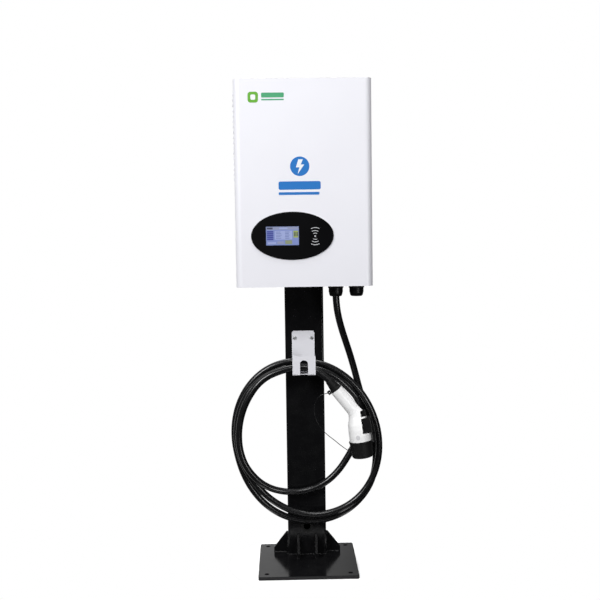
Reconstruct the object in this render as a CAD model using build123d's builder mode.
"""Wall-box electric vehicle charger on a floor post, with its lead hung on a hook.

Millimetres, +Z up, +Y away from the user, origin under the centre of the floor plate.
"""
import os
from math import cos, pi, radians, sin, tan

from build123d import *

os.makedirs("parts", exist_ok=True)

# ---- driving dimensions ------------------------------------------------------------------
PLATE_SIDE = 300.0
PLATE_THICK = 10.0
ANCHOR_PITCH = 250.0
ANCHOR_HOLE_R = 7.0

POST_WIDTH = 120.0
POST_DEPTH = 60.0
POST_WALL = 4.0
POST_FRONT = 45.0
POST_TOP = 1330.0
POST_Y = POST_FRONT + POST_DEPTH / 2

CAB_WIDTH = 400.0
CAB_BOTTOM = 867.0
CAB_TOP = 1467.0
CAB_FRONT = -125.0
CAB_BACK = 40.0
CAB_SHEET = 2.0
CAB_CORNER = 20.0
CAB_SIDE = CAB_WIDTH / 2

CABLE_R = 10.25
GLAND_X = (94.0, 156.0)
GLAND_Y = -50.0

PANEL_X = -34.0
PANEL_Z = 1016.0
SCREEN_X = -63.0
READER_X = 32.0

COIL_CENTRE = (-1.0, 380.0)
COIL_TILT = 17.0
COIL_OUTER = (229.0, 265.0)
COIL_INNER = (198.0, 225.0)
COIL_FRONT = -4.0
COIL_BACK = 41.0

GUN_Y = -37.0
GUN_NOSE = Vector(166.0, GUN_Y, 385.5)
GUN_LEAN = 7.0
ALONG = Vector(sin(radians(GUN_LEAN)), 0, -cos(radians(GUN_LEAN)))
ACROSS = Vector(cos(radians(GUN_LEAN)), 0, sin(radians(GUN_LEAN)))
TAIL_TURN = 31.0

HOOK_X = -4.0
HOOK_HALF = 35.0
HOOK_SHEET = 3.0
HOOK_BOTTOM = 592.0
HOOK_TOP = 720.0
LIP_FRONT = -38.0
LIP_TOP = 652.0

RUNNING = 0.05


def save(piece, name):
    """Labels a finished piece and writes it as its own file."""
    piece.part.label = name
    export_step(piece.part, f"parts/{name}.step")


def block(x, y, z, mode=Mode.ADD):
    """A box given by its two ends along each axis."""
    with Locations(((x[0] + x[1]) / 2, (y[0] + y[1]) / 2, (z[0] + z[1]) / 2)):
        Box(x[1] - x[0], y[1] - y[0], z[1] - z[0], mode=mode)


def rod(x, y, z, radius, mode=Mode.ADD):
    """A cylinder along the one axis whose two ends are given as a pair."""
    turns = {0: (0, 90, 0), 1: (90, 0, 0), 2: (0, 0, 0)}
    ends = (x, y, z)
    axis = next(i for i, value in enumerate(ends) if isinstance(value, tuple))
    low, high = ends[axis]
    middle = [(low + high) / 2 if i == axis else value for i, value in enumerate(ends)]
    with Locations(Location(tuple(middle), turns[axis])):
        Cylinder(radius, high - low, mode=mode)


def wall_plane(y):
    """The upright plane at depth y, seen from the front: sketch X is X and sketch Y is Z."""
    return Plane.XZ.offset(-y)


def gun_point(along, across, out=0.0):
    """A point of the connector: along its nose, across towards its latch, out towards the user."""
    return GUN_NOSE + ALONG * along + ACROSS * across + Vector(0, -out, 0)


GUN_SIDE = Plane(origin=GUN_NOSE, x_dir=ALONG, z_dir=(0, -1, 0))
GUN_NOSE_PLANE = Plane(origin=GUN_NOSE, x_dir=ACROSS, z_dir=ALONG)


# ---- floor plate, gussets and post ----------------------------------------------------------
with BuildPart() as base_plate:
    with BuildSketch(Plane.XY):
        RectangleRounded(PLATE_SIDE, PLATE_SIDE, 6)
        with GridLocations(ANCHOR_PITCH, ANCHOR_PITCH, 2, 2):
            Circle(ANCHOR_HOLE_R, mode=Mode.SUBTRACT)
        with Locations((0, POST_Y)):
            Circle(22, mode=Mode.SUBTRACT)
    extrude(amount=PLATE_THICK)
    chamfer(base_plate.faces().sort_by(Axis.Z)[-1].outer_wire().edges(), 0.8)
save(base_plate, "base_plate")

GUSSET_THICK = 6.0
GUSSET_HEIGHT = 66.0
GUSSET_EDGE = 16.0


def gusset(origin, outward, reach):
    """A triangular stiffener standing on the plate, its upright edge against the post."""
    side = Vector(outward).cross(Vector(0, 0, 1))
    plane = Plane(origin=origin, x_dir=outward, z_dir=side)
    with BuildPart() as rib:
        with BuildSketch(plane):
            with BuildLine():
                Polyline(
                    (0, 0),
                    (reach, 0),
                    (reach, GUSSET_EDGE),
                    (5, GUSSET_HEIGHT),
                    (0, GUSSET_HEIGHT),
                    close=True,
                )
            make_face()
        extrude(amount=GUSSET_THICK / 2, both=True)
    return rib.part


GUSSET_X = 28.0
GUSSET_REACH = 45.0
REAR_REACH = 38.0
POST_REAR = POST_FRONT + POST_DEPTH
gusset_places = [
    ((-GUSSET_X, POST_FRONT, PLATE_THICK), (0, -1, 0), GUSSET_REACH),
    ((GUSSET_X, POST_FRONT, PLATE_THICK), (0, -1, 0), GUSSET_REACH),
    ((-POST_WIDTH / 2, POST_Y, PLATE_THICK), (-1, 0, 0), GUSSET_REACH),
    ((POST_WIDTH / 2, POST_Y, PLATE_THICK), (1, 0, 0), GUSSET_REACH),
    ((-GUSSET_X, POST_REAR, PLATE_THICK), (0, 1, 0), REAR_REACH),
    ((GUSSET_X, POST_REAR, PLATE_THICK), (0, 1, 0), REAR_REACH),
]
with BuildPart() as gussets:
    for where, outward, reach in gusset_places:
        add(gusset(where, outward, reach))
save(gussets, "gussets")

ENTRY_Z = 100.0
ENTRY_R = 15.0
SCREW_HOLE_R = 3.3
POST_CORNER = 6.0
POST_INSIDE = (POST_WIDTH - 2 * POST_WALL, POST_DEPTH - 2 * POST_WALL)
HOOK_SCREW_Z = 698.0
HOOK_SCREW_X = (HOOK_X - 26, HOOK_X + 26)
with BuildPart() as post_tube:
    with BuildSketch(Plane.XY.offset(PLATE_THICK)):
        with Locations((0, POST_Y)):
            RectangleRounded(POST_WIDTH, POST_DEPTH, POST_CORNER)
            RectangleRounded(*POST_INSIDE, 3, mode=Mode.SUBTRACT)
    extrude(amount=POST_TOP - PLATE_THICK)
    front_wall = (POST_FRONT - 1, POST_FRONT + POST_WALL + 1)
    rod(0.0, front_wall, ENTRY_Z, ENTRY_R, mode=Mode.SUBTRACT)
    for x in HOOK_SCREW_X:
        rod(x, front_wall, HOOK_SCREW_Z, SCREW_HOLE_R, mode=Mode.SUBTRACT)
save(post_tube, "post_tube")

CAP_THICK = 4.0
CAP_SKIRT = 18.0
CAP_PLAY = 1.0
CAP_WALL = 2.5
with BuildPart() as post_cap:
    with BuildSketch(Plane.XY.offset(POST_TOP)):
        with Locations((0, POST_Y)):
            RectangleRounded(POST_WIDTH, POST_DEPTH, POST_CORNER)
    extrude(amount=CAP_THICK)
    fillet(post_cap.faces().sort_by(Axis.Z)[-1].edges(), CAP_THICK / 2)
    with BuildSketch(Plane.XY.offset(POST_TOP)):
        with Locations((0, POST_Y)):
            skirt_x, skirt_y = (side - CAP_PLAY for side in POST_INSIDE)
            RectangleRounded(skirt_x, skirt_y, CAP_WALL)
            RectangleRounded(skirt_x - 2 * CAP_WALL, skirt_y - 2 * CAP_WALL, 2, mode=Mode.SUBTRACT)
    extrude(amount=-CAP_SKIRT)
save(post_cap, "post_cap")

with BuildPart() as entry_grommet:
    with BuildSketch(Plane.XY):
        with BuildLine():
            Polyline(
                (11, 0), (18, 0), (18, 2.5), (14.8, 2.5), (14.8, 6.7), (17.5, 6.7), (17.5, 8.5), (11, 8.5),
                close=True,
            )
        make_face()
    revolve(axis=Axis.Y)
entry_grommet.part.position = (0, POST_FRONT - 2.5, ENTRY_Z)
save(entry_grommet, "entry_grommet")

# ---- cable hook --------------------------------------------------------------------------------
HOOK_BACK = POST_FRONT
lip_inner = LIP_FRONT + HOOK_SHEET
with BuildPart() as cable_hook:
    with BuildSketch(Plane.YZ.offset(HOOK_X)):
        with BuildLine():
            Polyline(
                (HOOK_BACK, HOOK_TOP),
                (HOOK_BACK, HOOK_BOTTOM),
                (LIP_FRONT, HOOK_BOTTOM),
                (LIP_FRONT, LIP_TOP),
                (lip_inner, LIP_TOP),
                (lip_inner, HOOK_BOTTOM + HOOK_SHEET),
                (HOOK_BACK - HOOK_SHEET, HOOK_BOTTOM + HOOK_SHEET),
                (HOOK_BACK - HOOK_SHEET, HOOK_TOP),
                close=True,
            )
        make_face()
    extrude(amount=HOOK_HALF, both=True)
    bends = cable_hook.edges().filter_by(Axis.X)
    fillet(bends.group_by(Axis.Z)[0], 5)
    floor_z = HOOK_BOTTOM + HOOK_SHEET
    inner_bends = cable_hook.edges().filter_by(Axis.X)
    fillet(inner_bends.filter_by_position(Axis.Z, floor_z - 0.1, floor_z + 0.1), 2)
    fillet(cable_hook.edges().filter_by(Axis.Y).group_by(Axis.Z)[-1], 8)
    lip_corners = cable_hook.edges().filter_by(Axis.Y)
    fillet(lip_corners.filter_by_position(Axis.Z, LIP_TOP - 0.1, LIP_TOP + 0.1), 4)
    with BuildSketch(wall_plane(-20)):
        with Locations((HOOK_X, HOOK_BOTTOM + 17)):
            Rectangle(24, 36)
        with Locations((HOOK_X, HOOK_BOTTOM + 35)):
            Circle(12)
    extrude(amount=20, mode=Mode.SUBTRACT)
    for x in HOOK_SCREW_X:
        rod(x, (HOOK_BACK - 5, HOOK_BACK + 1), HOOK_SCREW_Z, SCREW_HOLE_R, mode=Mode.SUBTRACT)
save(cable_hook, "cable_hook")

with BuildPart() as hook_screws:
    for x in HOOK_SCREW_X:
        rod(x, (38.6, HOOK_BACK - HOOK_SHEET), HOOK_SCREW_Z, 5.2)
        rod(x, (HOOK_BACK - HOOK_SHEET, 60.0), HOOK_SCREW_Z, 3.0)
    fillet(hook_screws.edges().filter_by(GeomType.CIRCLE).group_by(Axis.Y)[0], 1.5)
    for x in HOOK_SCREW_X:
        with BuildSketch(wall_plane(38.5)):
            with Locations((x, HOOK_SCREW_Z)):
                RegularPolygon(2.2, 6)
        extrude(amount=-2.1, mode=Mode.SUBTRACT)
save(hook_screws, "hook_screws")

# ---- bracket behind the cabinet and its bolts ------------------------------------------------------
BOLT_X = (-95.0, 95.0)
BOLT_Z = (950.0, 1280.0)
bolt_places = [(x, z) for x in BOLT_X for z in BOLT_Z]
with BuildPart() as cabinet_bracket:
    with BuildSketch(wall_plane(POST_FRONT)):
        with Locations((0, 1115)):
            RectangleRounded(240, 420, 8)
        with Locations(*bolt_places):
            Circle(4.5, mode=Mode.SUBTRACT)
    extrude(amount=POST_FRONT - CAB_BACK)
save(cabinet_bracket, "cabinet_bracket")

with BuildPart() as cabinet_bolts:
    for x, z in bolt_places:
        with BuildSketch(wall_plane(36.4)):
            with Locations((x, z)):
                RegularPolygon(6.5, 6, major_radius=False)
        extrude(amount=5.3)
        rod(x, (36.4, 38.0), z, 8.0)
        rod(x, (36.4, 58.0), z, 4.0)
save(cabinet_bolts, "cabinet_bolts")

with BuildPart() as cabinet_nuts:
    for x, z in bolt_places:
        with BuildSketch(wall_plane(POST_FRONT)):
            with Locations((x, z)):
                Circle(8)
                Circle(4.1, mode=Mode.SUBTRACT)
        extrude(amount=-1.6)
        with BuildSketch(wall_plane(POST_FRONT + 1.6)):
            with Locations((x, z)):
                RegularPolygon(6.5, 6, major_radius=False)
                Circle(4.1, mode=Mode.SUBTRACT)
        extrude(amount=-6.5)
save(cabinet_nuts, "cabinet_nuts")

# ---- cabinet shell -------------------------------------------------------------------------------
FRONT_INSIDE = CAB_FRONT + CAB_SHEET
SIDE_INSIDE = CAB_SIDE - CAB_SHEET
cab_mid_y = (CAB_FRONT + CAB_BACK) / 2
cab_depth = CAB_BACK - CAB_FRONT
COVER_SCREW_Z = (895.0, 1167.0, 1439.0)
FLANGE_Y = 26.0
FAN_Z = (1258.0, 1366.0)
FAN_Y = -40.0
FAN_R = 43.0
FAN_SLOT_PITCH = 9.0
FAN_SLOT_HALF = 2.4

TRAY_X = SIDE_INSIDE - 2.5
TRAY_FRONT = FRONT_INSIDE + 0.5


def tray_panel(low, high):
    """The cabinet's top or bottom panel, which follows the cover's rounded corners inside."""
    with BuildPart() as panel:
        with BuildSketch(Plane.XY.offset(low)) as outline:
            with Locations((0, (TRAY_FRONT + CAB_BACK) / 2)):
                Rectangle(2 * TRAY_X, CAB_BACK - TRAY_FRONT)
            fillet(outline.vertices().group_by(Axis.Y)[0], CAB_CORNER - 4)
        extrude(amount=high - low)
    return panel.part


with BuildPart() as rear_housing:
    add(tray_panel(CAB_BOTTOM + 1, CAB_BOTTOM + 1 + CAB_SHEET))
    add(tray_panel(CAB_TOP - 1 - CAB_SHEET, CAB_TOP - 1))
    block((-TRAY_X, TRAY_X), (CAB_BACK - CAB_SHEET, CAB_BACK), (CAB_BOTTOM + 1, CAB_TOP - 1))
    for side in (-1, 1):
        flange = sorted((side * TRAY_X, side * (TRAY_X - CAB_SHEET)))
        block(flange, (12, CAB_BACK), (CAB_BOTTOM + 1, CAB_TOP - 1))
        for z in COVER_SCREW_Z:
            rod((flange[0] - 1, flange[1] + 1), FLANGE_Y, z, 2.6, mode=Mode.SUBTRACT)
    for z in ((CAB_BOTTOM + 1, CAB_BOTTOM + 15), (CAB_TOP - 15, CAB_TOP - 1)):
        block((-172, 172), (TRAY_FRONT, TRAY_FRONT + CAB_SHEET), z)
    for x, z in bolt_places:
        rod(x, (CAB_BACK - 3, CAB_BACK + 1), z, 4.5, mode=Mode.SUBTRACT)
    for x in GLAND_X:
        rod(x, GLAND_Y, (CAB_BOTTOM, CAB_BOTTOM + 4), 16.2, mode=Mode.SUBTRACT)
save(rear_housing, "rear_housing")

LOUVRE_COUNT = 17
LOUVRE_PITCH = 15.4
LOUVRE_LOW = 1179.0
LOUVRE_Y = (-92.0, 2.0)
LOUVRE_OUT = 2.8
PANEL_CUT = (114.0, 64.0)
STUD_PLACES = [(PANEL_X + dx, PANEL_Z + dz) for dx in (-108, 108) for dz in (-50, 50)]


def louvre(z):
    """A pressed hood over a slot in the left wall: a slanting blade closed at both ends."""
    wall = -CAB_SIDE
    with BuildPart() as hood:
        with BuildSketch(Plane.XZ.offset(-LOUVRE_Y[1])):
            with BuildLine():
                Polyline(
                    (wall + 0.5, z + 10),
                    (wall, z + 10),
                    (wall - LOUVRE_OUT, z + 2),
                    (wall - LOUVRE_OUT, z),
                    (wall + 0.5, z),
                    close=True,
                )
            make_face()
        extrude(amount=LOUVRE_Y[1] - LOUVRE_Y[0])
        with BuildSketch(Plane.XZ.offset(-LOUVRE_Y[1] + 1.5)):
            with BuildLine():
                Polyline(
                    (wall + 3, z + 7.5),
                    (wall + 0.5, z + 7.5),
                    (wall - LOUVRE_OUT + 1.4, z + 2),
                    (wall - LOUVRE_OUT + 1.4, z - 1),
                    (wall + 3, z - 1),
                    close=True,
                )
            make_face()
        extrude(amount=LOUVRE_Y[1] - LOUVRE_Y[0] - 3, mode=Mode.SUBTRACT)
    return hood.part


with BuildPart() as front_cover:
    with BuildSketch(Plane.XY.offset(CAB_BOTTOM)) as wrap:
        with Locations((0, cab_mid_y)):
            Rectangle(CAB_WIDTH, cab_depth)
        fillet(wrap.vertices().group_by(Axis.Y)[0], CAB_CORNER)
    extrude(amount=CAB_TOP - CAB_BOTTOM)
    with BuildSketch(Plane.XY.offset(CAB_BOTTOM)) as hollow:
        with Locations((0, cab_mid_y + CAB_SHEET)):
            Rectangle(2 * SIDE_INSIDE, cab_depth)
        fillet(hollow.vertices().group_by(Axis.Y)[0], CAB_CORNER - CAB_SHEET)
    extrude(amount=CAB_TOP - CAB_BOTTOM, mode=Mode.SUBTRACT)
    with BuildSketch(wall_plane(CAB_FRONT + 5)):
        with Locations((PANEL_X, PANEL_Z)):
            Ellipse(*PANEL_CUT)
    extrude(amount=10, mode=Mode.SUBTRACT)
    for n in range(LOUVRE_COUNT):
        low = LOUVRE_LOW + n * LOUVRE_PITCH
        slot_y = (LOUVRE_Y[0] + 1.5, LOUVRE_Y[1] - 1.5)
        block((-CAB_SIDE - 1, -SIDE_INSIDE + 1), slot_y, (low, low + 7.5), Mode.SUBTRACT)
        add(louvre(low))
    for fan_z in FAN_Z:
        for n in range(-4, 5):
            from_middle = n * FAN_SLOT_PITCH
            half = (FAN_R**2 - from_middle**2) ** 0.5
            slot_y = (FAN_Y + from_middle - FAN_SLOT_HALF, FAN_Y + from_middle + FAN_SLOT_HALF)
            block((SIDE_INSIDE - 1, CAB_SIDE + 1), slot_y, (fan_z - half, fan_z + half), Mode.SUBTRACT)
    for side in (-1, 1):
        for z in COVER_SCREW_Z:
            wall = sorted((side * (SIDE_INSIDE - 1), side * (CAB_SIDE + 1)))
            rod(tuple(wall), FLANGE_Y, z, 2.8, mode=Mode.SUBTRACT)
    for x, z in STUD_PLACES:
        rod(x, (FRONT_INSIDE, -106.0), z, 2.0)
save(front_cover, "front_cover")

with BuildPart() as cover_gasket:
    for side in (-1, 1):
        strip = sorted((side * TRAY_X, side * SIDE_INSIDE))
        block(strip, (16, 36), (CAB_BOTTOM + 6, CAB_TOP - 6))
        for z in COVER_SCREW_Z:
            rod((strip[0] - 1, strip[1] + 1), FLANGE_Y, z, 2.8, mode=Mode.SUBTRACT)
save(cover_gasket, "cover_gasket")

with BuildPart() as cover_screws:
    for side in (-1, 1):
        for z in COVER_SCREW_Z:
            head = sorted((side * CAB_SIDE, side * (CAB_SIDE + 2.7)))
            shank = sorted((side * (TRAY_X - 9), side * CAB_SIDE))
            socket = sorted((side * (CAB_SIDE + 1), side * (CAB_SIDE + 3)))
            rod(tuple(head), FLANGE_Y, z, 4.75)
            rod(tuple(shank), FLANGE_Y, z, 2.5)
            rod(tuple(socket), FLANGE_Y, z, 1.6, mode=Mode.SUBTRACT)
save(cover_screws, "cover_screws")

# ---- display and card reader behind the oval window -----------------------------------------------
SCREEN_W, SCREEN_H = 96.0, 55.0
LENS_FRONT = CAB_FRONT - 3.0
LENS_BACK = CAB_FRONT + 3.0
with BuildPart() as oval_panel:
    with BuildSketch(wall_plane(CAB_FRONT)):
        with Locations((PANEL_X, PANEL_Z)):
            Ellipse(120, 70)
    extrude(amount=3)
    fillet(oval_panel.faces().sort_by(Axis.Y)[0].edges(), 1.2)
    with BuildSketch(wall_plane(LENS_BACK)):
        with Locations((PANEL_X, PANEL_Z)):
            Ellipse(PANEL_CUT[0] - 0.4, PANEL_CUT[1] - 0.4)
    extrude(amount=3)
    block(
        (SCREEN_X - SCREEN_W / 2, SCREEN_X + SCREEN_W / 2),
        (LENS_FRONT - 1, LENS_BACK + 1),
        (PANEL_Z - SCREEN_H / 2, PANEL_Z + SCREEN_H / 2),
        Mode.SUBTRACT,
    )
save(oval_panel, "oval_panel")

with BuildPart() as lcd_screen:
    block(
        (SCREEN_X - SCREEN_W / 2 + 0.2, SCREEN_X + SCREEN_W / 2 - 0.2),
        (LENS_FRONT + 0.5, LENS_BACK),
        (PANEL_Z - SCREEN_H / 2 + 0.2, PANEL_Z + SCREEN_H / 2 - 0.2),
    )
save(lcd_screen, "lcd_screen")

BRACKET_Y = -113.0
with BuildPart() as lcd_module:
    block((SCREEN_X - 56, SCREEN_X + 50), (LENS_BACK, LENS_BACK + 5), (PANEL_Z - 34, PANEL_Z + 34))
    fillet(lcd_module.edges().filter_by(Axis.Y), 2)
    block((SCREEN_X - 40, SCREEN_X + 40), (LENS_BACK + 5, BRACKET_Y), (PANEL_Z - 26, PANEL_Z + 26))
    for z in (PANEL_Z - 15, PANEL_Z + 12):
        block((SCREEN_X + 40, SCREEN_X + 48), (LENS_BACK + 5, BRACKET_Y - 1), (z - 6, z + 6))
save(lcd_module, "lcd_module")

with BuildPart() as reader_board:
    block((READER_X - 24, READER_X + 24), (LENS_BACK, LENS_BACK + 1.6), (PANEL_Z - 26, PANEL_Z + 26))
    block((READER_X - 8, READER_X + 8), (LENS_BACK + 1.6, LENS_BACK + 3.6), (PANEL_Z - 20, PANEL_Z - 4))
    block((READER_X - 5, READER_X + 9), (LENS_BACK + 1.6, LENS_BACK + 6), (PANEL_Z + 12, PANEL_Z + 20))
    for x in (READER_X - 20, READER_X + 20):
        for z in (PANEL_Z - 22, PANEL_Z + 22):
            rod(x, (LENS_BACK + 1.6, BRACKET_Y), z, 2.5)
save(reader_board, "reader_board")

with BuildPart() as display_bracket:
    with BuildSketch(wall_plane(BRACKET_Y)):
        with Locations((PANEL_X, PANEL_Z)):
            RectangleRounded(236, 118, 6)
            Rectangle(60, 60, mode=Mode.SUBTRACT)
        with Locations(*STUD_PLACES):
            Circle(2.3, mode=Mode.SUBTRACT)
    extrude(amount=-1.5)
save(display_bracket, "display_bracket")

with BuildPart() as display_nuts:
    for x, z in STUD_PLACES:
        with BuildSketch(wall_plane(BRACKET_Y + 1.5)):
            with Locations((x, z)):
                RegularPolygon(3.5, 6, major_radius=False)
                Circle(2.1, mode=Mode.SUBTRACT)
        extrude(amount=-3.2)
save(display_nuts, "display_nuts")

# ---- equipment plate and what stands on it -----------------------------------------------------------
PLATE_FACE = 24.0
STANDOFFS = [(x, z) for x in (-150.0, 150.0) for z in (905.0, 1184.0, 1430.0)]
RAIL_Z = 1150.0
RAIL_FRONT = 16.5
BOARD_X, BOARD_Z = (62.0, 164.0), (900.0, 1086.0)
BOARD_BACK = 12.0

with BuildPart() as equipment_plate:
    with BuildSketch(wall_plane(PLATE_FACE + CAB_SHEET)):
        with Locations((0, 1167)):
            RectangleRounded(340, 565, 5)
        with Locations(*STANDOFFS):
            Circle(3.2, mode=Mode.SUBTRACT)
    extrude(amount=CAB_SHEET)
save(equipment_plate, "equipment_plate")

with BuildPart() as plate_standoffs:
    for x, z in STANDOFFS:
        rod(x, (PLATE_FACE + CAB_SHEET, CAB_BACK - CAB_SHEET), z, 7)
        rod(x, (PLATE_FACE - 5, PLATE_FACE + CAB_SHEET), z, 3.0)
        with BuildSketch(wall_plane(PLATE_FACE)):
            with Locations((x, z)):
                RegularPolygon(5, 6, major_radius=False)
        extrude(amount=4)
save(plate_standoffs, "plate_standoffs")

MODULE_X, MODULE_Z = (-165.0, 122.0), (1203.0, 1421.0)
MODULE_FRONT = -62.0
with BuildPart() as power_module:
    block(MODULE_X, (MODULE_FRONT, PLATE_FACE), MODULE_Z)
    fillet(power_module.edges().filter_by(Axis.X), 2)
    fin_y = (MODULE_FRONT + 8, PLATE_FACE - 8)
    groove_x = (MODULE_X[0] + 30, MODULE_X[1] - 30)
    groove_y = (MODULE_FRONT, MODULE_FRONT + 1.5)
    for n in range(12):
        low = MODULE_Z[0] + 12 + n * 16.5
        for end, inward in ((MODULE_X[0], 6), (MODULE_X[1], -6)):
            block(sorted((end, end + inward)), fin_y, (low, low + 11), Mode.SUBTRACT)
        block(groove_x, groove_y, (low, low + 8), Mode.SUBTRACT)
    for x in (-140, -100, 70):
        block((x - 14, x + 14), (MODULE_FRONT + 20, MODULE_FRONT + 44), (MODULE_Z[0] - 5, MODULE_Z[0]))
save(power_module, "power_module")

FRAME_X = (169.0, 193.0)
FAN_HALF = 46.0
HUB_BORE = 2.0
with BuildPart() as fan_frames:
    for z in FAN_Z:
        block(FRAME_X, (FAN_Y - FAN_HALF, FAN_Y + FAN_HALF), (z - FAN_HALF, z + FAN_HALF))
        rod((FRAME_X[0] - 1, FRAME_X[1] + 1), FAN_Y, z, FAN_R, mode=Mode.SUBTRACT)
        rod((FRAME_X[0], FRAME_X[0] + 3), FAN_Y, z, 17)
        block((FRAME_X[0], FRAME_X[0] + 3), (FAN_Y - FAN_R, FAN_Y + FAN_R), (z - 2, z + 2))
        block((FRAME_X[0], FRAME_X[0] + 3), (FAN_Y - 2, FAN_Y + 2), (z - FAN_R, z + FAN_R))
        rod((FRAME_X[0] - 1, FRAME_X[0] + 4), FAN_Y, z, HUB_BORE, mode=Mode.SUBTRACT)
        for dy in (-40.5, 40.5):
            for dz in (-40.5, 40.5):
                rod((FRAME_X[0] - 1, FRAME_X[1] + 1), FAN_Y + dy, z + dz, 2.2, mode=Mode.SUBTRACT)
save(fan_frames, "fan_frames")

BLADES = 7


def fan_rotor(z):
    """A hub on its shaft with pitched blades, turning about X."""
    middle = (FRAME_X[0] + FRAME_X[1]) / 2 + 2
    with BuildPart() as rotor:
        rod((FRAME_X[0] + 4, FRAME_X[1] - 1), FAN_Y, z, 18)
        rod((FRAME_X[0] + 0.5, FRAME_X[0] + 5), FAN_Y, z, HUB_BORE - RUNNING)
        for n in range(BLADES):
            turn = Location((middle, FAN_Y, z), (360 / BLADES * n, 0, 0))
            with Locations(turn * Location((0, 0, 29), (0, 0, 40))):
                Box(1.8, 21, 24)
        with BuildSketch(Plane.YZ.offset(FRAME_X[0] - 1)):
            with Locations((FAN_Y, z)):
                Circle(FAN_R + 12)
                Circle(FAN_R - 1.5, mode=Mode.SUBTRACT)
        extrude(amount=30, mode=Mode.SUBTRACT)
    return rotor


for name, fan_z in zip(("fan_rotor_lower", "fan_rotor_upper"), FAN_Z):
    save(fan_rotor(fan_z), name)

with BuildPart() as fan_bracket:
    block((FRAME_X[0] - 2, FRAME_X[0]), (FAN_Y - 50, PLATE_FACE), (FAN_Z[0] - 50, FAN_Z[1] + 50))
    block((145, FRAME_X[0]), (PLATE_FACE - 2, PLATE_FACE), (FAN_Z[0] - 50, FAN_Z[1] + 50))
    for z in FAN_Z:
        rod((FRAME_X[0] - 3, FRAME_X[0] + 1), FAN_Y, z, FAN_R, mode=Mode.SUBTRACT)
save(fan_bracket, "fan_bracket")

with BuildPart() as din_rail:
    with BuildSketch(Plane.YZ.offset(-165)):
        with BuildLine():
            Polyline(
                (RAIL_FRONT, RAIL_Z - 17.5),
                (RAIL_FRONT + 1, RAIL_Z - 17.5),
                (RAIL_FRONT + 1, RAIL_Z - 13.5),
                (PLATE_FACE, RAIL_Z - 13.5),
                (PLATE_FACE, RAIL_Z + 13.5),
                (RAIL_FRONT + 1, RAIL_Z + 13.5),
                (RAIL_FRONT + 1, RAIL_Z + 17.5),
                (RAIL_FRONT, RAIL_Z + 17.5),
                (RAIL_FRONT, RAIL_Z + 12.5),
                (PLATE_FACE - 1, RAIL_Z + 12.5),
                (PLATE_FACE - 1, RAIL_Z - 12.5),
                (RAIL_FRONT, RAIL_Z - 12.5),
                close=True,
            )
        make_face()
    extrude(amount=330)
save(din_rail, "din_rail")

DIN_STEP = -28.0
DIN_NOSE = -50.0


def din_device(x, poles):
    """A rail-mounted device: a deep body with a narrower nose, and a terminal screw well per pole."""
    with BuildPart() as device:
        block(x, (DIN_STEP, RAIL_FRONT), (RAIL_Z - 43, RAIL_Z + 43))
        block(x, (DIN_NOSE, DIN_STEP), (RAIL_Z - 22.5, RAIL_Z + 22.5))
        fillet(device.edges().filter_by(Axis.X).group_by(Axis.Y)[0], 2)
        width = (x[1] - x[0]) / poles
        for n in range(poles):
            middle = x[0] + width * (n + 0.5)
            for z in (RAIL_Z - 33, RAIL_Z + 33):
                rod(middle, (DIN_STEP - 1, DIN_STEP + 4), z, 3.4, mode=Mode.SUBTRACT)
            for z in (RAIL_Z - 43, RAIL_Z + 43):
                block((middle - 4, middle + 4), (-18, -8), (z - 4, z + 4), Mode.SUBTRACT)
    return device


BREAKER_X = (-160.0, -88.0)
TOGGLE_Y = DIN_NOSE + 3
TOGGLE_R = 7.0
toggle_x = (BREAKER_X[0] + 8, BREAKER_X[1] - 8)
with BuildPart() as breaker_body:
    add(din_device(BREAKER_X, 4).part)
    rod((toggle_x[0] - 0.5, toggle_x[1] + 0.5), TOGGLE_Y, RAIL_Z, TOGGLE_R + 0.3, mode=Mode.SUBTRACT)
save(breaker_body, "breaker_body")

with BuildPart() as breaker_toggle:
    rod(toggle_x, TOGGLE_Y, RAIL_Z, TOGGLE_R)
    lever_turn = Location((sum(toggle_x) / 2, TOGGLE_Y, RAIL_Z), (-30, 0, 0))
    with Locations(lever_turn * Location((0, -10, 0))):
        Box(toggle_x[1] - toggle_x[0], 16, 4.4)
save(breaker_toggle, "breaker_toggle")

save(din_device((-84.0, -12.0), 4), "surge_arrester")
save(din_device((-8.0, 64.0), 4), "energy_meter")
save(din_device((68.0, 122.0), 3), "power_supply")

with BuildPart() as contactor:
    block((-160, -86), (-50, PLATE_FACE), (990, 1076))
    chamfer(contactor.edges().filter_by(Axis.X).group_by(Axis.Y)[0], 8)
    for n in range(3):
        for z in (998, 1068):
            rod(-145 + 22.0 * n, (-43, -36), z, 4.2, mode=Mode.SUBTRACT)
    block((-138, -108), (-56, -50), (1022, 1044))
save(contactor, "ac_contactor")

with BuildPart() as dc_contactors:
    for x in (-46.0, 18.0):
        rod(x, (-40, 20), 1036.0, 27)
        block((x - 30, x + 30), (20, PLATE_FACE), (1006, 1066))
        fillet(dc_contactors.edges().filter_by(GeomType.CIRCLE).group_by(Axis.Y)[0], 3)
        for side in (-12, 12):
            rod(x + side, (-50, -40), 1036.0, 5)
save(dc_contactors, "dc_contactors")

with BuildPart() as control_board:
    block(BOARD_X, (BOARD_BACK, BOARD_BACK + 1.6), BOARD_Z)
    for x, z, w, h, t in (
        (90, 1050, 34, 34, 3),
        (140, 1050, 22, 14, 4),
        (84, 1000, 16, 30, 12),
        (108, 1000, 16, 30, 12),
        (140, 1004, 30, 26, 16),
    ):
        block((x - w / 2, x + w / 2), (BOARD_BACK - t, BOARD_BACK), (z - h / 2, z + h / 2))
    for n in range(5):
        block((68 + 19 * n, 84 + 19 * n), (BOARD_BACK - 11, BOARD_BACK), (906, 918))
    for n in range(4):
        rod(76.0 + 14 * n, (BOARD_BACK - 20, BOARD_BACK), 950.0, 5)
save(control_board, "control_board")

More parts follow.
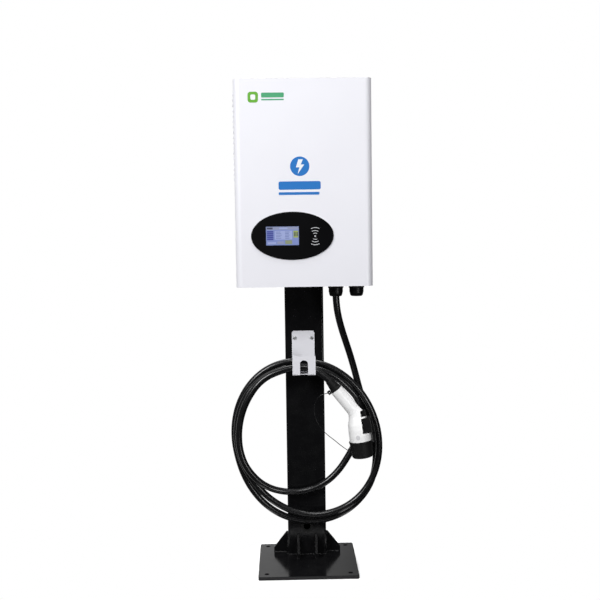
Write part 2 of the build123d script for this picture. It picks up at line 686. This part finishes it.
with BuildPart() as board_standoffs:
    for x in (BOARD_X[0] + 5, BOARD_X[1] - 5):
        for z in (BOARD_Z[0] + 24, BOARD_Z[1] - 5):
            rod(x, (BOARD_BACK + 1.6, PLATE_FACE), z, 3)
            rod(x, (BOARD_BACK - 2.4, BOARD_BACK), z, 2.8)
save(board_standoffs, "board_standoffs")

with BuildPart() as terminal_block:
    block((-160, 40), (-18, PLATE_FACE), (914, 958))
    for n in range(10):
        x = -150 + 20.0 * n
        block((x - 8, x + 8), (-19, -8), (939, 959), Mode.SUBTRACT)
        rod(x, (-13, -8), 948.0, 4)
        block((x - 6, x + 6), (-10, 6), (913, 926), Mode.SUBTRACT)
save(terminal_block, "terminal_block")

with BuildPart() as earth_bar:
    block((-160, 20), (14, 20), (886.5, 898.5))
    for n in range(8):
        rod(-146.0 + 20 * n, (8, 14), 892.5, 4)
    for x in (-154, 14):
        rod(float(x), (20, PLATE_FACE), 892.5, 4)
save(earth_bar, "earth_bar")

# ---- cable glands under the cabinet ----------------------------------------------------------------
FLOOR_LOW = CAB_BOTTOM + 1
FLOOR_HIGH = FLOOR_LOW + CAB_SHEET
NUT_LOW = CAB_BOTTOM - 34
NUT_HIGH = CAB_BOTTOM - 9
NUT_R = 20.4
NUT_RIBS = 12


def at_each_gland(make):
    """One node holding the same piece at both glands."""
    with BuildPart() as pair:
        for x in GLAND_X:
            with Locations((x, GLAND_Y, 0)):
                add(make())
    return pair


def gland_body():
    with BuildPart() as body:
        with BuildSketch(Plane.XY.offset(FLOOR_LOW)):
            RegularPolygon(20, 6, major_radius=False)
        extrude(amount=-(FLOOR_LOW - NUT_HIGH))
        rod(0.0, 0.0, (FLOOR_LOW, FLOOR_HIGH + 9), 16)
        rod(0.0, 0.0, (NUT_LOW + 9, NUT_HIGH), 16.5)
        rod(0.0, 0.0, (NUT_LOW, FLOOR_HIGH + 10), 12, mode=Mode.SUBTRACT)
    return body.part


def gland_locknut():
    with BuildPart() as nut:
        with BuildSketch(Plane.XY.offset(FLOOR_HIGH)):
            RegularPolygon(20, 6, major_radius=False)
            Circle(16.1, mode=Mode.SUBTRACT)
        extrude(amount=6)
    return nut.part


def gland_nut():
    """The domed clamping nut with twelve shallow grip ribs."""
    shoulder = NUT_LOW + 11
    seat = NUT_LOW + 9
    with BuildPart() as nut:
        with BuildSketch(Plane.XZ):
            with BuildLine():
                Line((12, NUT_LOW), (15, NUT_LOW))
                Spline(
                    (15, NUT_LOW), (19.2, NUT_LOW + 5), (NUT_R, shoulder), tangents=[(1, 0.25), (0.05, 1)]
                )
                Polyline(
                    (NUT_R, shoulder), (NUT_R, NUT_HIGH), (16.7, NUT_HIGH), (16.7, seat), (12, seat),
                    (12, NUT_LOW),
                )
            make_face()
        revolve(axis=Axis.Z)
        for n in range(NUT_RIBS):
            turn = Location((0, 0, (shoulder + NUT_HIGH) / 2), (0, 0, 360 / NUT_RIBS * n))
            with Locations(turn * Location((NUT_R - 0.1, 0, 0.5))):
                Box(1.8, 4, NUT_HIGH - shoulder - 1)
    return nut.part


def gland_seal():
    with BuildPart() as seal:
        rod(0.0, 0.0, (NUT_LOW + 1, NUT_LOW + 8.9), 11.95)
        rod(0.0, 0.0, (NUT_LOW, NUT_LOW + 9), CABLE_R + RUNNING, mode=Mode.SUBTRACT)
    return seal.part


save(at_each_gland(gland_body), "gland_bodies")
save(at_each_gland(gland_locknut), "gland_locknuts")
save(at_each_gland(gland_nut), "gland_nuts")
save(at_each_gland(gland_seal), "gland_seals")

with BuildPart() as gland_plug:
    rod(GLAND_X[1], GLAND_Y, (NUT_LOW + 2, NUT_LOW + 14), CABLE_R)
save(gland_plug, "gland_plug")

# ---- vehicle connector ----------------------------------------------------------------------------
SHELL_WALL = 2.6
# Station along the nose, across it, turn of the section, half width across and half width out.
STATIONS = (
    (-170, -52.4, TAIL_TURN, 19.7, 19.0),
    (-104, -12.0, 31.5, 19.7, 19.5),
    (-94, -7.0, 27.0, 21.5, 21.0),
    (-84, -2.8, 17.0, 25.4, 24.0),
    (-72, -1.2, 8.0, 28.4, 27.4),
    (-58, -0.4, 2.0, 31.6, 30.6),
    (-42, 0, 0, 33.2, 32.6),
    (-23, 0, 0, 33.5, 33.3),
    (-5, 0, 0, 33.5, 33.3),
)
NOTCH = (-75.0, -27.0)
NOTCH_FLOOR = 8.0
BUTTON_WELL = (-97.0, -79.0)
BUTTON_FLOOR = 9.0
PIVOT = (-50.0, 19.0)
PIN_R = 2.5
SHELL_SCREWS = ((-152, -43), (-116, -20), (-66, -14), (-38, -20))


def station_plane(along, across, turn):
    """The plane of one section, square to the connector's curving centre line."""
    normal = ALONG * cos(radians(turn)) + ACROSS * sin(radians(turn))
    sideways = ACROSS * cos(radians(turn)) - ALONG * sin(radians(turn))
    return Plane(origin=gun_point(along, across), x_dir=sideways, z_dir=normal)


def gun_form(shrink):
    """The connector's rounded outer form, smaller all round by the given amount."""
    with BuildPart() as form:
        for along, across, turn, half_across, half_out in STATIONS:
            with BuildSketch(station_plane(along, across, turn)):
                Ellipse(half_across - shrink, half_out - shrink)
        loft(ruled=True)
    return form.part


def side_block(along, across, half, mode=Mode.ADD):
    """A box in the connector's own directions, centred on its middle plane."""
    centre = gun_point(sum(along) / 2, sum(across) / 2)
    with Locations(Plane(origin=centre, x_dir=ALONG, z_dir=(0, -1, 0))):
        Box(along[1] - along[0], across[1] - across[0], 2 * half, mode=mode)


def side_rod(along, across, radius, out, mode=Mode.ADD):
    """A cylinder through the connector from side to side, between two depths."""
    with Locations(Plane(origin=gun_point(along, across, sum(out) / 2), x_dir=ALONG, z_dir=(0, -1, 0))):
        Cylinder(radius, out[1] - out[0], mode=mode)


with BuildPart() as gun_cavity:
    add(gun_form(SHELL_WALL))
    side_block((NOTCH[0] - 3, NOTCH[1] + 3), (NOTCH_FLOOR - 3, 60), 40, Mode.SUBTRACT)
    side_block((BUTTON_WELL[0] - 3, BUTTON_WELL[1] + 3), (BUTTON_FLOOR - 5, 60), 40, Mode.SUBTRACT)
    side_block((-74, -58), (-3, 20), 7, Mode.SUBTRACT)
    for along, across in SHELL_SCREWS:
        side_rod(along, across, 4.2, (-40, 40), Mode.SUBTRACT)

with BuildPart() as gun_shell:
    add(gun_form(0))
    add(gun_cavity.part, mode=Mode.SUBTRACT)
    side_block(NOTCH, (NOTCH_FLOOR, 60), 40, Mode.SUBTRACT)
    side_block((-56, -44), (0, 24), 3)
    side_rod(PIVOT[0], PIVOT[1], PIN_R + RUNNING, (-4, 4), Mode.SUBTRACT)
    side_block((BUTTON_WELL[1] - 1, NOTCH[0] + 1), (NOTCH_FLOOR, 16), 6, Mode.SUBTRACT)
    side_block(BUTTON_WELL, (BUTTON_FLOOR, 60), 40, Mode.SUBTRACT)
    side_block(BUTTON_WELL, (BUTTON_FLOOR - 2.2, 40), 6, Mode.SUBTRACT)
    with Locations(Plane(origin=gun_point(-66, 6), x_dir=ALONG, z_dir=ACROSS)):
        Cylinder(4.4, 12, mode=Mode.SUBTRACT)
    for along, across in SHELL_SCREWS:
        side_rod(along, across, 1.6, (-36, 12), Mode.SUBTRACT)
        side_rod(along, across, 3.4, (-40, -16), Mode.SUBTRACT)

middle_plane = wall_plane(GUN_Y)
with BuildPart() as gun_shell_front:
    add(split(gun_shell.part, bisect_by=middle_plane, keep=Keep.TOP, mode=Mode.PRIVATE))
save(gun_shell_front, "gun_shell_front")
with BuildPart() as gun_shell_rear:
    add(split(gun_shell.part, bisect_by=middle_plane, keep=Keep.BOTTOM, mode=Mode.PRIVATE))
save(gun_shell_rear, "gun_shell_rear")

with BuildPart() as gun_screws:
    for along, across in SHELL_SCREWS:
        side_rod(along, across, 3.2, (-18.4, -16))
        side_rod(along, across, 1.5, (-16, 10))
save(gun_screws, "gun_screws")

# The insulating nose that carries the contacts.
NOZZLE_R = 28.0
NOZZLE_START = -5.0
NOZZLE_END = 39.0
NOZZLE_FOOT = 18.0
CONTACTS = (
    (-11.5, 3, 6.0),
    (11.5, 3, 6.0),
    (0, -14, 5.0),
    (-9, 17, 2.6),
    (0, 19, 2.6),
    (9, 17, 2.6),
    (-15, -12, 2.6),
    (15, -12, 2.6),
    (0, 7, 2.6),
)
with BuildPart() as gun_nozzle:
    with BuildSketch(GUN_NOSE_PLANE.offset(NOZZLE_START - NOZZLE_FOOT)):
        Circle(29.6)
    extrude(amount=NOZZLE_FOOT)
    with BuildSketch(GUN_NOSE_PLANE.offset(NOZZLE_START)):
        Circle(NOZZLE_R)
    extrude(amount=NOZZLE_END - NOZZLE_START)
    chamfer(gun_nozzle.faces().sort_by(Axis(GUN_NOSE, ALONG))[-1].edges(), 1.5)
    with BuildSketch(GUN_NOSE_PLANE.offset(NOZZLE_END + 1)):
        with Locations((NOZZLE_R, 0)):
            Rectangle(5, 8)
    extrude(amount=-34, mode=Mode.SUBTRACT)
    with BuildSketch(GUN_NOSE_PLANE.offset(NOZZLE_END + 1)):
        for across, out, radius in CONTACTS:
            with Locations((across, out)):
                Circle(radius + 0.8)
    extrude(amount=-70, mode=Mode.SUBTRACT)
save(gun_nozzle, "gun_nozzle")

with BuildPart() as contact_sleeves:
    with BuildSketch(GUN_NOSE_PLANE.offset(NOZZLE_START - NOZZLE_FOOT)):
        for across, out, radius in CONTACTS:
            with Locations((across, out)):
                Circle(radius + 0.8)
                Circle(radius * 0.75, mode=Mode.SUBTRACT)
    extrude(amount=NOZZLE_END - NOZZLE_START + NOZZLE_FOOT - 6)
save(contact_sleeves, "contact_sleeves")

with BuildPart() as latch_lever:
    with BuildSketch(GUN_SIDE):
        with BuildLine():
            Polyline(
                (-73, 11.5), (-29, 11.5), (-28, 35.6), (-6, 37), (4, 37), (4, 43), (0, 45),
                (-23, 44.2), (-70, 41.5), (-73, 38),
                close=True,
            )
        make_face()
    extrude(amount=19, both=True)
    for half in (-1, 1):
        with Locations(Plane(origin=gun_point(-10, 40, half * 17), x_dir=ALONG, z_dir=(0, -1, 0))):
            Box(35, 22, 12, mode=Mode.SUBTRACT)
    side_block((-60, -40), (10, 27), 3.4, Mode.SUBTRACT)
    side_block((-94, -72), (12.3, 14), 4)
    side_block((-94, -88), (12.3, 15), 4)
    side_rod(PIVOT[0], PIVOT[1], PIN_R, (-17, 17), Mode.SUBTRACT)
    crown = [
        edge
        for edge in latch_lever.edges()
        if abs(abs(edge.center().Y - GUN_Y) - 19) < 0.01
        and (edge.center() - GUN_NOSE).dot(ACROSS) > 29
        and edge.length > 20
    ]
    fillet(crown, 8)
save(latch_lever, "latch_lever")

with BuildPart() as lever_pin:
    side_rod(PIVOT[0], PIVOT[1], PIN_R, (-17, 17))
save(lever_pin, "lever_pin")

BUTTON_HALF = 16.0
with BuildPart() as release_button:
    side_block((BUTTON_WELL[0] + 1, BUTTON_WELL[1] - 1), (13.6, 27), BUTTON_HALF)
    fillet(release_button.faces().sort_by(Axis(GUN_NOSE, ACROSS))[-1].edges(), 4)
    side_block(BUTTON_WELL, (13, 15.3), 5.4, Mode.SUBTRACT)
save(release_button, "release_button")

spring_foot = gun_point(-66, 0.6)
with BuildPart() as lever_spring:
    with BuildLine() as wire:
        Helix(2.3, 10.2, 3.2, center=tuple(spring_foot), direction=tuple(ACROSS))
    with BuildSketch(Plane(origin=wire.line @ 0, z_dir=wire.line % 0)):
        Circle(0.4)
    sweep()
save(lever_spring, "lever_spring")

# ---- strain relief boot on the connector's tail ----------------------------------------------------
TAIL = gun_point(-170, -52.4)
tail_out = (ALONG * cos(radians(TAIL_TURN)) + ACROSS * sin(radians(TAIL_TURN))) * -1
tail_side = ACROSS * cos(radians(TAIL_TURN)) - ALONG * sin(radians(TAIL_TURN))
BOOT_LENGTH = 36.0
with BuildPart() as gun_boot:
    with BuildSketch(Plane(origin=TAIL, x_dir=tail_out, z_dir=(0, -1, 0))):
        with BuildLine():
            Polyline(
                (0, CABLE_R + RUNNING), (0, 18.2), (5, 18.2), (6, 16.8), (12, 16), (12, 14.6), (14, 14.6),
                (14, 15.6), (19, 14.8), (19, 13.6), (21, 13.6), (21, 14.4), (26, 13.7), (26, 12.6),
                (28, 12.6), (28, 13.3), (BOOT_LENGTH, 12.2), (BOOT_LENGTH, CABLE_R + RUNNING),
                close=True,
            )
        make_face()
    revolve(axis=Axis(TAIL, tail_out))
    lug_plane = Plane(origin=TAIL - tail_side * 22.5 + tail_out * 6, x_dir=tail_out, z_dir=(0, -1, 0))
    with Locations(lug_plane):
        Box(12, 10, 6)
        Cylinder(1.5, 8, mode=Mode.SUBTRACT)
save(gun_boot, "gun_boot")

# ---- dust cap, which pulls off along the nose ---------------------------------------------------------
with BuildPart() as dust_cap:
    with BuildSketch(GUN_SIDE):
        with BuildLine():
            Polyline(
                (-4, NOZZLE_R + 0.6), (-4, 36), (0, 36), (0.8, 35), (43, 31.8), (46, 29.5), (47, 26),
                (47, 0), (41.5, 0), (41.5, NOZZLE_R + 0.6),
                close=True,
            )
        make_face()
    revolve(axis=Axis(GUN_NOSE, ALONG))
    side_block((16, 24), (-42, -32.8), 3)
    side_rod(20, -39, 1.5, (-4, 4), Mode.SUBTRACT)
save(dust_cap, "dust_cap")

# ---- charging lead and cap tether ------------------------------------------------------------------


def tube(points, radius, name):
    """A round cord of straight runs and the widest tangent arcs they allow."""
    corners = [Vector(*point) for point in points]
    radii = []
    for before, corner, after in zip(corners, corners[1:], corners[2:]):
        first, second = corner - before, after - corner
        half_turn = radians(first.get_angle(second)) / 2
        radii.append(0.45 * min(first.length, second.length) / tan(half_turn))
    with BuildPart() as cord:
        with BuildLine() as route:
            FilletPolyline(*corners, radius=radii)
        with BuildSketch(Plane(origin=route.line @ 0, z_dir=route.line % 0)):
            Circle(radius)
        sweep()
    length = sum(edge.length for edge in route.edges())
    expected = pi * radius**2 * length
    print(name, "length", round(length), "radii", [round(r) for r in radii],
          "volume share", round(cord.part.volume / expected, 4))
    save(cord, name)


LEAD_ROUTE = (
    (94, -50, 838),
    (95.5, -49, 806),
    (101, -43, 772),
    (111, -31, 733),
    (124, -13, 693),
    (138, 5, 650),
    (151, 20, 605),
    (163, 30, 558),
    (172, 34.5, 524),
)
INNER_ROUTE = (
    (-194, -8, 322),
    (-172, -6, 285),
    (-142, 1, 252),
    (-104, 11, 229),
    (-60, 19, 218),
    (-14, 24, 217),
    (32, 26, 229),
    (72, 26, 253),
    (105, 26, 287),
    (129, 26, 324),
    (149, 25, 359),
    (165, 24, 396),
    (173, 21, 435),
    (171, 16, 474),
    (158, 10, 510),
)
TAIL_ROUTE = (
    (-122, -11, 584),
    (-86, -15, 600.5),
    (-48, -18, 612),
    (-12, -20.5, 617),
    (21, -22.5, 611),
    (48, -28.5, 597),
    (73.5, -36.5, 573.5),
)
TETHER_ROUTE = (
    (125.2, -37, 360.3),
    (107, -36, 373),
    (86, -33, 391),
    (63, -29, 408),
    (42, -26, 430),
    (28, -24, 458),
    (24, -24, 488),
    (31, -27, 515),
    (47, -32, 533),
    (68, -36.5, 537),
)
tube(LEAD_ROUTE, CABLE_R, "cable_lead")
tube(INNER_ROUTE, CABLE_R, "cable_inner_strand")
tube(TAIL_ROUTE, CABLE_R, "cable_tail")
tube(TETHER_ROUTE, 1.1, "cap_tether")

with BuildPart() as cable_coil:
    with BuildSketch(wall_plane(COIL_BACK)):
        with Locations(COIL_CENTRE):
            Ellipse(*COIL_OUTER, rotation=COIL_TILT)
            Ellipse(*COIL_INNER, rotation=COIL_TILT, mode=Mode.SUBTRACT)
    extrude(amount=COIL_BACK - COIL_FRONT)
    fillet(cable_coil.edges(), 9)
save(cable_coil, "cable_coil")
